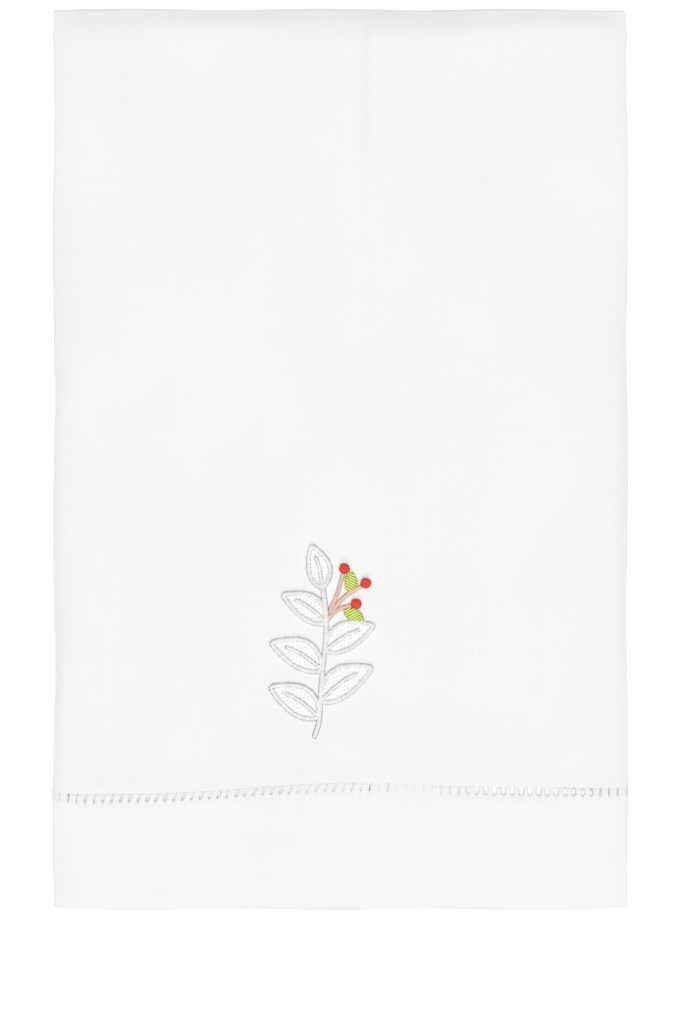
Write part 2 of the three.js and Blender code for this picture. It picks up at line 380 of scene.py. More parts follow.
# The studio. Each lamp's place and size are in metres, and its power is in watts.
LAMPS = [
    dict(name="overhead", place=(0, 0.5, 4), size=3, power=110),
    dict(name="key", place=(0, -8.5, 8.5), size=11, power=640),
]
WORLD_STRENGTH = 0.2
FLOOR_HALF = 4
FLOOR_GLOW = 0.22

# The photograph's height and the towel's in it, in pixels, and the place that it is centred on.
PHOTO_PIXELS = 1023
TOWEL_PIXELS = 902.2
CAMERA_OVER = (0.18 * MM, -16.24 * MM)

rng = np.random.default_rng(22)


def ease(distance, reach):
    """From 0 at no distance to 1 at the reach, level at both ends."""
    share = np.clip(distance / reach, 0, 1)
    return share * share * (3 - 2 * share)


def bump(distance, half_width):
    """1 at the middle and near 0 from two half widths away."""
    return np.exp(-((distance / half_width) ** 2))


def curve_through(at, values, places):
    """A smooth curve through values at rising places, read at other places."""
    slopes = np.gradient(values, at)
    i = np.clip(np.searchsorted(at, places) - 1, 0, len(at) - 2)
    span = at[i + 1] - at[i]
    t = np.clip((places - at[i]) / span, 0, 1)
    ahead = t * t * (3 - 2 * t)
    bend = t * (1 - t) * span
    slope = (1 - t) * slopes[i] - t * slopes[i + 1]
    return values[i] + (values[i + 1] - values[i]) * ahead + bend * slope


def course(column, across):
    """One column of the hemstitch row's table, at places across the cloth."""
    at = np.array([place["across"] for place in ROW]) * MM
    values = np.array([place[column] for place in ROW])
    return curve_through(at, values, across)


def fold_under(along, height, line, radius, reach=1):
    """Folds the end of a flat stack under, half round from the line on and then back beneath it."""
    past = along - line
    angle = np.clip(past / radius, 0, math.pi)
    out = radius + height
    folded_along = line + reach * out * np.sin(angle) - np.maximum(past - math.pi * radius, 0)
    folded_height = -radius + out * np.cos(angle)
    flat = past <= 0
    return np.where(flat, along, folded_along), np.where(flat, height, folded_height)


def swelling(swells, x, y):
    """The height of a table's swells at places on the front."""
    total = np.zeros(np.broadcast(x, y).shape)
    for swell in swells:
        lean = math.radians(swell["lean"])
        right = x - swell["across"] * MM
        ahead = y - swell["along"] * MM
        aside = right * math.cos(lean) - ahead * math.sin(lean)
        lengthwise = right * math.sin(lean) + ahead * math.cos(lean)
        low_or_high = bump(aside, swell["wide"] * MM) * bump(lengthwise, swell["long"] * MM)
        total += swell["height"] * MM * low_or_high
    return total


def rise(x, y):
    """How much higher the front stands at a place than a dead flat stack's top."""
    total = swelling(SWELLS, x, y) + swelling(PUCKERS, x, y)
    share = RIDGE_LEAST + (1 - RIDGE_LEAST) * ease(y - RIDGE_FROM, RIDGE_TO - RIDGE_FROM)
    flank = np.where(x < RIDGE_LINE, RIDGE_LEFT, RIDGE_RIGHT)
    total += RIDGE_HEIGHT * share * bump(x - RIDGE_LINE, flank)
    from_ridge = y - FRONT_ROW + BAND_HALF
    total += HEM_RISE * ease(from_ridge + HEM_RIDGE, HEM_RIDGE) * (1 - ease(from_ridge, HEM_RIDGE))
    return total


def flattened(x, y):
    """How far the stack is flattened near its folds, from 0 to 1."""
    from_top = HALF_LENGTH - y
    from_side = HALF_WIDTH - np.abs(x)
    top = TOP_FLATTENED + TOP_TILT * x / HALF_WIDTH
    top = top * (1 - np.clip(from_top / TOP_ROLL, 0, 1)) ** TOP_FADE
    crease = CREASE * bump(y - CREASE_AT, CREASE_LENGTH) * np.where(x < 0, 1, CREASE_ON_RIGHT)
    side = SIDE_FLATTENED * (1 - np.clip(from_side / SIDE_ROLL, 0, 1)) ** SIDE_FADE
    side += crease * (1 - np.clip(from_side / CREASE_ROLL, 0, 1)) ** CREASE_FADE
    return np.minimum(top + side - CORNER_SPARED * top * side, 1)


def apart(y):
    """How far apart the stack's halves lie in its middle."""
    return HALVES_APART * (APART_AT_HEM + (1 - APART_AT_HEM) * ease(y - FRONT_ROW, SETTLING_REACH))


def between_halves(z, x, y):
    """How far a height moves as the stack's halves come apart in its middle and close at its folds.

    It is measured from the front's middle surface. The room between the halves takes all of it.
    """
    room = TOP_RADIUS - PAIR_PITCH - PLY / 2 + SETTLING * ease(y - FRONT_ROW, FLAP_SETTLED)
    share = np.clip((z + TOP_RADIUS + room) / (2 * room), 0, 1)
    flat = flattened(x, y)
    return share * (apart(y) * (1 - flat) - HALVES_CLOSED * 2 * room * flat)


def wander(x, y, share):
    """Makes the outline uneven, and the layers too: share is 0 at the floor and 1 at the front."""
    near_side = ease(np.abs(x) - HALF_WIDTH + WAVE_REACH, WAVE_REACH)
    near_end = ease(np.abs(y) - HALF_LENGTH + WAVE_REACH, WAVE_REACH)
    corner = np.where(x < 0, CORNER_LEFT, CORNER_RIGHT)
    inset = corner * ease(y - HALF_LENGTH + CORNER_REACH, CORNER_REACH)
    below = 1 - share
    shift = OUTLINE_SHIFT * below
    side_wave = WAVE * near_side * np.sin(2 * math.pi * y / WAVE_SIDE + np.sign(x) + shift)
    end_wave = WAVE * near_end * np.sin(2 * math.pi * x / WAVE_END + np.sign(y) + shift)
    uneven = EVEN_SLIP + (1 - EVEN_SLIP) * np.sin(x / SLIP_ACROSS + SLIP_SHIFT * below)
    slip = LAYER_SLIP * below * uneven * near_end * (y < 0)
    return x + side_wave - inset * x / HALF_WIDTH, y + end_wave + slip


def lift(x, y, share):
    """How far the hidden layers lift or sink from even spacing. It is nothing at floor and front."""
    wave = np.sin(x / LIFT_ACROSS + LIFT_SHIFT_ACROSS * share)
    wave += np.sin(y / LIFT_ALONG - LIFT_SHIFT_ALONG * share + 1)
    return LAYER_LIFT * wave * share * (1 - share) * 2


def above_hems(along):
    """1 between the two hems, whose inner edges lie along the hemstitch rows, and 0 in them."""
    past_front = ease(along - FRONT_ROW + BAND_HALF, HEM_SLOPE)
    return past_front * ease(BACK_ROW + BAND_HALF - along, HEM_SLOPE)


def lay(points):
    """Where points of the flat cloth lie once it is folded.

    A point is across and along the cloth and up from its middle surface, on its face side.
    """
    across, along, up = np.moveaxis(np.asarray(points, float), -1, 0)
    lean = course("lean", across) * (along - FRONT_ROW) * bump(along - FRONT_ROW, LEAN_REACH)
    front, height = fold_under(-along, up, FRONT_HEM_LINE, HEM_RADIUS)
    along, height = fold_under(-front, height, BACK_HEM_LINE, HEM_RADIUS)
    height = height - SETTLING * above_hems(along)
    sunk = course("sunk", across) * ease(SIDE_LINE - np.abs(across), SUNK_FROM_SIDE)
    height = height - sunk * MM * bump(along - FRONT_ROW, SUNK_REACH)
    side, height = fold_under(np.abs(across), height, SIDE_LINE, SIDE_RADIUS, SIDE_REACH)
    x = np.sign(across) * side + lean
    from_hem = along + HALF_LENGTH
    bend = ease(from_hem, HEM_DEPTH) * (1 - ease(from_hem - HEM_DEPTH, ROW_REACH))
    turned = ease(np.abs(across) - SIDE_LINE, 2 * SIDE_LINE)
    drawn_back = FLAP_SHORT * turned * (1 - ease(from_hem, HALF_LENGTH))
    along = along + course("rise", across) * MM * bend + drawn_back
    y, z = fold_under(along, height, TOP_LINE, TOP_RADIUS, TOP_REACH)
    z = z + between_halves(z, x, y)
    z = z + STACK - PLY / 2 - SETTLING * ease(y - FRONT_ROW, SETTLING_REACH)
    share = z / STACK
    loft = STACK + apart(y)
    taller = (1 + rise(x, y) / loft) * (1 - THINNED * flattened(x, y))
    x, y = wander(x, y, share)
    return np.stack([x, y, (z + lift(x, y, share)) * taller], axis=-1)


def new_piece(name, points, faces, material):
    """A smooth mesh object of world points and faces. Nothing goes below the floor."""
    points[:, 2] = np.maximum(points[:, 2], 0)
    mesh = bpy.data.meshes.new(name)
    mesh.from_pydata(points.tolist(), [], faces)
    mesh.validate()
    mesh.shade_smooth()
    mesh.materials.append(material)
    piece = bpy.data.objects.new(name, mesh)
    bpy.context.scene.collection.objects.link(piece)
    return piece


def set_uv(piece, places):
    """Gives each corner of a piece's faces its point's place on the flat thing, in metres."""
    mesh = piece.data
    corner = np.zeros(len(mesh.loops), int)
    mesh.loops.foreach_get("vertex_index", corner)
    layer = mesh.uv_layers.new(name="Flat")
    layer.data.foreach_set("uv", places[corner].astype(np.float32).ravel())


def set_value(piece, name, values):
    """Gives each point of a piece a number that its material reads."""
    layer = piece.data.attributes.new(name, "FLOAT", "POINT")
    layer.data.foreach_set("value", values.astype(np.float32).ravel())


def steps(start, end, longest):
    """Numbers from start to end, both included, in even steps of at most the longest."""
    count = math.ceil(abs(end - start) / longest - HAIR)
    return np.linspace(start, end, count + 1)


def joined_lines(*runs):
    """Sorted lines from several runs, without those that fall nearly together."""
    lines = np.sort(np.concatenate(runs))
    clear = np.concatenate([[True], np.diff(lines) > LEAST_CELL])
    return lines[clear]


def lines_across():
    """Where the cloth's grid has its lines across it: at each stitch, and closer where it bends."""
    stitches = LEFT_END + STITCH * np.arange(STITCHES + 1)
    turn = SIDE_LINE + math.pi * SIDE_RADIUS * SIDE_TURN_LINES
    halves = stitches[:-1] + STITCH / 2
    quarters = np.concatenate([stitches[:-1] + STITCH / 4, stitches[:-1] + STITCH * 3 / 4])
    extra = [turn, -turn]
    extra += [halves[(halves > start) & (halves < end)] for start, end in HALVED_ACROSS]
    extra.append(quarters[(quarters > QUARTERED_ACROSS[0]) & (quarters < QUARTERED_ACROSS[1])])
    extra = joined_lines(*extra)
    clear = np.abs(extra[:, None] - stitches[None]).min(axis=1) > LEAST_CELL
    return np.sort(np.concatenate([stitches, extra[clear]])), stitches


def lines_along():
    """The grid's lines along the cloth, from the front hem's inner edge to the back hem's."""
    hem_turn = math.pi * HEM_RADIUS
    bottom = FRONT_ROW - BAND_HALF
    top = FRONT_ROW + BAND_HALF
    half_turn = math.pi * TOP_RADIUS
    roll = TOP_LINE - TOP_ROLL
    return joined_lines(
        steps(-FRONT_HEM_LINE - hem_turn - TURNING, -FRONT_HEM_LINE - hem_turn, HIDDEN_CELL),
        steps(-FRONT_HEM_LINE - hem_turn, -FRONT_HEM_LINE, hem_turn / HEM_TURN_STEPS),
        [-FRONT_HEM_LINE + NEAR_FOLD],
        steps(-FRONT_HEM_LINE, bottom, HEM_CELL),
        steps(top, FINE_ALONG[0], HEM_CELL),
        steps(FINE_ALONG[0], FINE_ALONG[1], SPRIG_CELL),
        steps(FINE_ALONG[1], roll, FRONT_CELL),
        steps(roll, TOP_LINE, ROLL_CELL),
        [TOP_LINE - NEAR_FOLD, TOP_LINE + half_turn + NEAR_FOLD],
        steps(TOP_LINE, TOP_LINE + half_turn, half_turn / TOP_TURN_STEPS),
        steps(TOP_LINE + half_turn, BACK_ROW - BAND_HALF, HIDDEN_CELL),
        steps(BACK_ROW + BAND_HALF, BACK_HEM_LINE, HIDDEN_CELL),
        [BACK_HEM_LINE - NEAR_FOLD],
        steps(BACK_HEM_LINE, BACK_HEM_LINE + hem_turn, hem_turn / HEM_TURN_STEPS),
        steps(BACK_HEM_LINE + hem_turn, BACK_HEM_LINE + hem_turn + TURNING, HIDDEN_CELL),
    )


def in_units(place):
    """A place in whole small units, by which equal places are known."""
    return round(place * UNITS_PER_METRE)


class Net:
    """The flat cloth's points and faces, with each point held once."""

    def __init__(self):
        self.index = {}
        self.places = []
        self.plies = []
        self.faces = []

    def point(self, across, along, ply=PLY):
        key = (in_units(across), in_units(along))
        if key not in self.index:
            self.index[key] = len(self.places)
            self.places.append((across, along))
            self.plies.append(ply)
        return self.index[key]


def rung_width(across):
    """The width of a rung of threads at a place across the cloth, halfway up the row."""
    uneven = RUNG_UNEVEN * np.sin(across / RUNG_WAVE)
    return RUNG_MOST + (RUNG_LEAST - RUNG_MOST) * np.clip(course("drawn", across), 0, 1) + uneven


def stitch_lines(left, right, lines):
    """The lines of one stitch of a row: the grid's own and enough others to round a hole."""
    own = lines[(lines > left - HAIR) & (lines < right + HAIR)]
    quarters = left + (right - left) * np.array([0.25, 0.5, 0.75])
    added = [place for place in quarters if np.abs(own - place).min() > LEAST_STITCH_CELL]
    return np.sort(np.concatenate([own, added]))


def hole_edge(x, y, middle, half_cell, half_hole):
    """Where a cell's rounded hole ends, from the cell's middle towards a place on its border."""
    a = (x - middle[0]) / half_cell[0]
    b = (y - middle[1]) / half_cell[1]
    size = (abs(a) ** HOLE_SQUARENESS + abs(b) ** HOLE_SQUARENESS) ** (1 / HOLE_SQUARENESS)
    return middle[0] + a / size * half_hole[0], middle[1] + b / size * half_hole[1]


def add_hole(net, lines, low, high):
    """One stitch of a hemstitch row: a rectangle of cloth with a rounded hole in it."""
    left, right = lines[0], lines[-1]
    heights = np.linspace(low, high, 5)
    border = [(x, low) for x in lines]
    border += [(right, y) for y in heights[1:]]
    border += [(x, high) for x in lines[-2::-1]]
    border += [(left, y) for y in heights[-2:0:-1]]
    middle = ((left + right) / 2, (low + high) / 2)
    half_cell = ((right - left) / 2, (high - low) / 2)
    hole_width = max(LEAST_HOLE, right - left - rung_width(middle[0]) + 2 * UNDER_STRAND)
    half_hole = (hole_width / 2, HOLE_HEIGHT / 2)
    rings = [[net.point(x, y, PLY if y in (low, high) else RUNG_PLY) for x, y in border]]
    for share in (0.5, 1):
        ring = []
        for x, y in border:
            hole_x, hole_y = hole_edge(x, y, middle, half_cell, half_hole)
            place = (x + (hole_x - x) * share, y + (hole_y - y) * share)
            ply = HOLE_PLY if share == 1 else RUNG_PLY
            ring.append(net.point(*place, ply))
        rings.append(ring)
    for outer, inner in zip(rings, rings[1:]):
        for k in range(len(outer)):
            j = (k + 1) % len(outer)
            net.faces.append([outer[k], outer[j], inner[j], inner[k]])


def edge_points(left, right, line, cell_lines, band_edges):
    """The places across a grid line from left to right, with a row's own along its edges."""
    if in_units(line) not in band_edges:
        return [left, right]
    return [left, *cell_lines[(cell_lines > left + HAIR) & (cell_lines < right - HAIR)], right]


def flat_cloth():
    """The whole cloth, flat, with both its hemstitch rows' holes cut out."""
    net = Net()
    lines, stitches = lines_across()
    along = lines_along()
    band_starts = [in_units(row - BAND_HALF) for row in (FRONT_ROW, BACK_ROW)]
    band_edges = band_starts + [in_units(row + BAND_HALF) for row in (FRONT_ROW, BACK_ROW)]
    cells = [stitch_lines(a, b, lines) for a, b in zip(stitches, stitches[1:])]
    cell_lines = np.unique(np.round(np.concatenate(cells), 10))
    for low, high in zip(along, along[1:]):
        if in_units(low) in band_starts:
            for cell in cells:
                add_hole(net, cell, low, high)
            continue
        for left, right in zip(lines, lines[1:]):
            under = edge_points(left, right, low, cell_lines, band_edges)
            over = edge_points(left, right, high, cell_lines, band_edges)
            face = [net.point(x, low) for x in under] + [net.point(x, high) for x in over[::-1]]
            net.faces.append(face)
    return net


def make_cloth():
    """The cloth as one closed sheet: its face, its wrong side, and the rims between them."""
    net = flat_cloth()
    places = np.array(net.places)
    half = np.array(net.plies)[:, None] / 2
    face_side = lay(np.concatenate([places, half], axis=1))
    wrong_side = lay(np.concatenate([places, -half], axis=1))
    count = len(places)
    sides = {(a, b) for face in net.faces for a, b in zip(face, face[1:] + face[:1])}
    rims = [[b, a, a + count, b + count] for a, b in sorted(sides) if (b, a) not in sides]
    backs = [[i + count for i in reversed(face)] for face in net.faces]
    points = np.concatenate([face_side, wrong_side])
    piece = new_piece("towel_cloth", points, net.faces + backs + rims, linen_material())
    piece.data.set_sharp_from_angle(angle=math.radians(SHARPEST_SMOOTH))
    set_uv(piece, np.concatenate([places, places]))
    return piece


def tube_points(paths, radius, sides, flatness):
    """Rings of points round each path. A flattened thread lies flat, and a round one lies anyhow."""
    tangent = np.gradient(paths, axis=1)
    tangent /= np.linalg.norm(tangent, axis=2, keepdims=True)
    upright = np.full(len(paths), 2)
    least = np.abs(tangent).mean(axis=1).argmin(axis=1) if flatness == 1 else upright
    aside = np.cross(tangent, np.eye(3)[least][:, None])
    aside /= np.linalg.norm(aside, axis=2, keepdims=True)
    upward = np.cross(aside, tangent) * flatness
    angle = np.arange(sides) * 2 * math.pi / sides
    ring = aside[:, :, None] * np.cos(angle)[:, None] + upward[:, :, None] * np.sin(angle)[:, None]
    return (paths[:, :, None] + radius * ring).reshape(-1, 3)


def tube_faces(count, length, sides):
    """The faces of equal tubes: each one's wall, and a cap at either end."""
    start = np.arange(count)[:, None, None] * length * sides
    k = np.arange(sides)
    j = (k + 1) % sides
    base = start + np.arange(length - 1)[None, :, None] * sides
    quads = np.stack([base + k, base + j, base + sides + j, base + sides + k], axis=-1)
    first = start[:, 0] + k[::-1]
    last = start[:, 0] + (length - 1) * sides + k
    return quads.reshape(-1, 4).tolist() + first.tolist() + last.tolist()


def tubes(name, paths, radius, sides, material, flatness=1, dark=None):
    """One mesh of many threads, each along its own row of world points.

    Their material reads how near each point is to its thread's ends, where it paints shade, and each
    thread's own tone.
    """
    count, length, _ = paths.shape
    points = tube_points(paths, radius, sides, flatness)
    piece = new_piece(name, points, tube_faces(count, length, sides), material)
    step = np.linalg.norm(np.diff(paths, axis=1), axis=2)
    travelled = np.concatenate([np.zeros((count, 1)), np.cumsum(step, axis=1)], axis=1)
    from_end = np.minimum(travelled, travelled[:, -1:] - travelled)
    round_it = np.tile(np.arange(sides) / sides, count * length)
    set_uv(piece, np.stack([np.repeat(travelled.ravel(), sides), round_it], axis=-1))
    # How near each point is to its thread's ends, where its material paints shade.
    set_value(piece, "sunk", np.repeat(1 - ease(from_end.ravel(), END_SHADE_REACH), sides))
    tone = rng.random(count) if dark is None else rng.random(count) + dark
    set_value(piece, "tone", np.repeat(tone, length * sides))
    return piece


def rungs():
    """Each rung of threads left in the hemstitch rows: its place across, its row and its width."""
    across = LEFT_END + STITCH * np.arange(1, STITCHES)
    widths = rung_width(across)
    return [(x, row, width) for row in (FRONT_ROW, BACK_ROW) for x, width in zip(across, widths)]


def hemstitch_strands():
    """The warp threads that cross the drawn band, gathered into rungs."""
    along = np.array([place["along"] for place in STRAND_COURSE]) * MM
    gathering = np.array([place["gathered"] for place in STRAND_COURSE])
    height = np.array([place["height"] for place in STRAND_COURSE]) * MM
    from_middle = np.linspace(-0.5, 0.5, STRANDS_IN_RUNG)
    paths = []
    for across, row, width in rungs():
        widest = STITCH * (1 - 1 / STRANDS_IN_RUNG)
        gathered = min(width - 2 * WARP_THREAD, widest)
        spread = widest + (gathered - widest) * gathering
        for number, place in enumerate(from_middle):
            aside = across + place * spread + rng.normal(0, STRAND_UNEVEN, len(along))
            layer = (HIGH_STRAND if number % 2 else LOW_STRAND) * MM
            levelled = ease(np.abs(along) - STRANDS_LEVEL_FROM, STRANDS_LEVEL_OVER)
            up = height + layer * (1 - levelled)
            paths.append(np.stack([aside, row + along, up], axis=-1))
    material = thread_material("strand", LINEN_THREAD, WARP_THREAD)
    return tubes("hemstitch_strands", lay(np.array(paths)), WARP_THREAD, 4, material, WARP_FLATNESS)


def hemstitch_stitches():
    """The sewing thread: two turns round each end of a rung and a small stitch on either side."""
    turn = np.linspace(0, 2 * math.pi, 9)
    share = np.linspace(0, 1, 9)
    wraps = []
    stitches = []
    for across, row, width in rungs():
        half = min(width / 2 + WRAP_ROOM, STITCH / 2)
        proud = ease(course("drawn", across), FULLY_DRAWN) * SEWING_PROUD - SEWING_PROUD
        for end in (-1, 1):
            for place in WRAPS_AT:
                aside = across + half * np.cos(turn)
                along = row + end * place * MM + WRAP_SLANT * np.sin(turn)
                up = proud - HEM_WRAP_SUNK * (end < 0) + WRAP_HEIGHT * np.sin(turn)
                wraps.append(np.stack([aside, along, up], axis=-1))
            arch = proud + SMALL_STITCH_BASE + SMALL_STITCH_CROWN * np.sin(math.pi * share)
            reached = SMALL_STITCH_FROM + SMALL_STITCH_LENGTH * share
            aside = across + STITCH * reached + rng.normal(0, SMALL_STITCH_UNEVEN)
            off_row = SMALL_STITCH_AT + SMALL_STITCH_OFF * rng.random()
            along = np.full(len(share), row + end * off_row)
            stitches.append(np.stack([aside, along, arch], axis=-1))
    material = thread_material("sewing", LINEN_THREAD, SEWING_THREAD)
    return tubes("hemstitch_stitches", lay(np.array(wraps + stitches)), SEWING_THREAD, 4, material)


def smooth_line(points, spacing):
    """Places at even spacing on a smooth line through a few points, in mm, with its directions."""
    points = np.array(points, float)
    reached = np.concatenate([[0], np.cumsum(np.linalg.norm(np.diff(points, axis=0), axis=1))])
    fine = np.linspace(0, reached[-1], 24 * len(points))
    curve = np.stack([curve_through(reached, points[:, k], fine) for k in range(2)], axis=-1)
    travelled = np.concatenate([[0], np.cumsum(np.linalg.norm(np.diff(curve, axis=0), axis=1))])
    at = np.linspace(0, travelled[-1], max(3, round(travelled[-1] / spacing) + 1))
    line = np.stack([np.interp(at, travelled, curve[:, k]) for k in range(2)], axis=-1)
    direction = np.gradient(line, axis=0)
    return line, direction / np.linalg.norm(direction, axis=1, keepdims=True)


def arched(starts, ends, crown, base=0):
    """Stitches from starts to ends, in mm, that dive into the cloth at both and arch between."""
    length = np.linalg.norm(ends - starts, axis=1)[:, None]
    near = np.minimum(RISES_OVER / length, RISES_AT_MOST) * np.array([0, 1 / 3, 1])
    share = np.concatenate([near, 0 * length + 0.5, 1 - near[:, ::-1]], axis=1)
    height = base + np.reshape(crown, (-1, 1)) * ARCH
    flat = starts[:, None] + (ends - starts)[:, None] * share[..., None]
    return np.concatenate([flat, np.broadcast_to(height, share.shape)[..., None]], axis=-1)


def satin(points, width, crown, base=0):
    """A satin-stitched line: stitches side by side across it, with slightly uneven ends."""
    line, direction = smooth_line(points, SATIN_SPACING)
    aside = np.stack([-direction[:, 1], direction[:, 0]], axis=-1)
    from_end = np.minimum(np.arange(len(line)), np.arange(len(line))[::-1])
    crown = crown * np.minimum(1, 0.4 + 0.3 * from_end)
    widths = width * np.minimum(1, 0.7 + 0.3 * from_end)
    uneven = rng.normal(0, SATIN_UNEVEN, (2, len(line), 1))
    reach = widths[:, None] / 2
    starts = line - aside * (reach + uneven[0]) - direction * SATIN_SLANT / 2
    ends = line + aside * (reach + uneven[1]) + direction * SATIN_SLANT / 2
    return arched(starts, ends, crown, base)


def leaf_edges(base, toward, length, width, bend):
    """The two long edges of a leaf from its base to its tip, and its middle line, in mm."""
    t = np.linspace(0, 1, 9)
    angle = math.radians(toward)
    ahead = np.array([math.cos(angle), math.sin(angle)])
    left = np.array([-ahead[1], ahead[0]])
    middle = np.array(base) + length * t[:, None] * ahead + bend * np.sin(math.pi * t)[:, None] * left
    half = width / 2 * np.sin(math.pi * t**LEAF_BLUNTNESS) ** LEAF_BLUNTNESS
    return middle + half[:, None] * left, middle - half[:, None] * left, middle


def circle(middle, radius):
    """The outline of a round berry, in mm."""
    turn = np.linspace(0, 2 * math.pi, 24, endpoint=False)
    return np.array(middle) + radius * np.stack([np.cos(turn), np.sin(turn)], axis=-1)


def fill(outline, toward, spacing, crown, stitch=None, base=0):
    """Rows of stitches inside an outline, of the length given or as long as the row."""
    angle = math.radians(toward)
    turn = np.array([[math.cos(angle), -math.sin(angle)], [math.sin(angle), math.cos(angle)]])
    turned = outline @ turn
    following = np.roll(turned, -1, axis=0)
    starts, ends = [], []
    rows = np.arange(turned[:, 1].min() + spacing / 2, turned[:, 1].max(), spacing)
    for number, row in enumerate(rows):
        crosses = (turned[:, 1] > row) != (following[:, 1] > row)
        a, b = turned[crosses], following[crosses]
        met = np.sort(a[:, 0] + (row - a[:, 1]) / (b[:, 1] - a[:, 1]) * (b[:, 0] - a[:, 0]))
        for left, right in zip(met[::2], met[1::2]):
            cuts = [left, right]
            if stitch:
                offset = (number % 3) / 3 * stitch
                inner = np.arange(math.floor(left / stitch) * stitch + offset, right, stitch)
                kept = inner[(inner > left + LEAST_PIECE) & (inner < right - LEAST_PIECE)]
                cuts = [left, *kept, right]
            for start, end in zip(cuts, cuts[1:]):
                starts.append((start, row + rng.normal(0, FILL_UNEVEN)))
                ends.append((end, row + rng.normal(0, FILL_UNEVEN)))
    starts, ends = np.array(starts) @ turn.T, np.array(ends) @ turn.T
    lengths = np.linalg.norm(ends - starts, axis=1)
    return arched(starts, ends, crown * np.sqrt(lengths / lengths.max()), base)


def sewn(name, paths, colours, dark=None):
    """One piece of stitches, given in mm from the sprig's middle and up from the cloth's face."""
    placed = np.concatenate(paths) * MM
    placed += np.array([*SPRIG_AT, PLY / 2])
    material = thread_material(name, colours, EMBROIDERY_THREAD)
    if dark is not None:
        dark = np.repeat(dark, [len(run) for run in paths])
    return tubes(name, lay(placed), EMBROIDERY_THREAD, 8, material, EMBROIDERY_FLATNESS, dark)


def embroidery():
    """The sprig: silver outlines, white fill, lime leaves, red berries and pink stalks."""
    silver = [satin(STEM, **STEM_LINE)]
    white = []
    for leaf in LEAVES:
        left, right, middle = leaf_edges(**leaf)
        loop = np.concatenate([left, right[-2::-1]])
        silver.append(satin(loop, **OUTLINE))
        white.append(fill(loop[:-1], **WHITE_FILL))
        silver.append(satin(middle[:-2], **VEIN))
    pink = [satin(stalk, **STALK_LINE) for stalk in STALKS]
    red = [fill(circle(berry, BERRY_RADIUS), **RED_FILL) for berry in BERRIES]
    lime = []
    for leaf in LIME_LEAVES:
        left, right, _ = leaf_edges(**leaf)
        loop = np.concatenate([left, right[-2:0:-1]])
        lime.append(fill(loop, leaf["toward"], **LIME_UNDER))
        lime.append(fill(loop, leaf["toward"] + LIME_TURN, **LIME_OVER))
    # The under layer's dark tone is painted shade between the lime's paler rows.
    lime_tones = [LIME_UNDER_SHADE, LIME_OVER_TONE] * len(LIME_LEAVES)
    return [
        sewn("embroidery_silver", silver, SILVER),
        sewn("embroidery_white", white, WHITE),
        sewn("embroidery_pink", pink, PINK),
        sewn("embroidery_red", red, RED),
        sewn("embroidery_lime", lime, LIME, dark=lime_tones),
    ]


class Nodes:
    """A shorthand for a material's nodes and the links between them."""

    def __init__(self, name):
        self.material = bpy.data.materials.new(name)
        self.material.use_nodes = True
        self.tree = self.material.node_tree
        self.shader = self.tree.nodes["Principled BSDF"]

    def link(self, value, socket):
        if isinstance(value, bpy.types.NodeSocket):
            self.tree.links.new(value, socket)
        else:
            socket.default_value = value

    def add(self, kind, values=(), **settings):
        """A new node, with a number or a link in each socket named."""
        node = self.tree.nodes.new(kind)
        for key, value in settings.items():
            setattr(node, key, value)
        for key, value in dict(values).items():
            self.link(value, node.inputs[key])
        return node

    def math(self, operation, *values):
        node = self.add("ShaderNodeMath", dict(enumerate(values)), operation=operation)
        return node.outputs[0]

    def mix(self, share, low, high):
        values = {"Factor": share, "A": (*low, 1), "B": (*high, 1)}
        node = self.tree.nodes.new("ShaderNodeMix")
        node.data_type = "RGBA"
        for socket in node.inputs:
            if socket.enabled and socket.name in values:
                self.link(values[socket.name], socket)
        return next(socket for socket in node.outputs if socket.enabled)

    def flat_place(self):
        """A point's place on the flat cloth or along its thread, whole and in its two parts."""
        place = self.add("ShaderNodeUVMap", uv_map="Flat").outputs["UV"]
        parts = self.add("ShaderNodeSeparateXYZ", {"Vector": place})
        return place, parts.outputs["X"], parts.outputs["Y"]

    def value(self, name):
        return self.add("ShaderNodeAttribute", attribute_name=name).outputs["Fac"]

    def noise(self, place, cell, detail):
        """Noise whose patches are about one cell wide and long."""
        stretch = tuple(1 / side for side in cell) + (1,)
        mapped = self.add("ShaderNodeMapping", {"Vector": place, "Scale": stretch})
        values = {"Vector": mapped.outputs[0], "Scale": 1, "Detail": detail}
        return self.add("ShaderNodeTexNoise", values).outputs["Fac"]

    def bump(self, height, distance, strength):
        values = {"Height": height, "Distance": distance, "Strength": strength}
        return self.add("ShaderNodeBump", values).outputs["Normal"]

    def set(self, **values):
        for name, value in values.items():
            self.link(value, self.shader.inputs[name.replace("_", " ")])


def weave_height(n, place, across, along):
    """How high a plain weave stands: each thread over one and under one, some of them thicker."""
    warp = n.math("SINE", n.math("MULTIPLY", across, math.pi / LINEN_PITCH))
    weft = n.math("SINE", n.math("MULTIPLY", along, math.pi / LINEN_PITCH))
    over_under = n.math("MULTIPLY", n.math("MULTIPLY", warp, weft), CROSSING_SHARE)
    uneven_warp = n.noise(place, (1.1 * LINEN_PITCH, SLUB_LENGTH), 1)
    uneven_weft = n.noise(place, (SLUB_LENGTH, 1.2 * LINEN_PITCH), 1)
    warp_ridge = n.math("MULTIPLY_ADD", n.math("ABSOLUTE", warp), RIDGE_SHARE, over_under)
    weft_round = n.math("MULTIPLY", n.math("ABSOLUTE", weft), RIDGE_SHARE)
    weft_ridge = n.math("SUBTRACT", weft_round, over_under)
    warp_height = n.math("MULTIPLY_ADD", uneven_warp, SLUB_SHARE, warp_ridge)
    weft_height = n.math("MULTIPLY_ADD", uneven_weft, SLUB_SHARE, weft_ridge)
    return n.math("MAXIMUM", warp_height, weft_height)


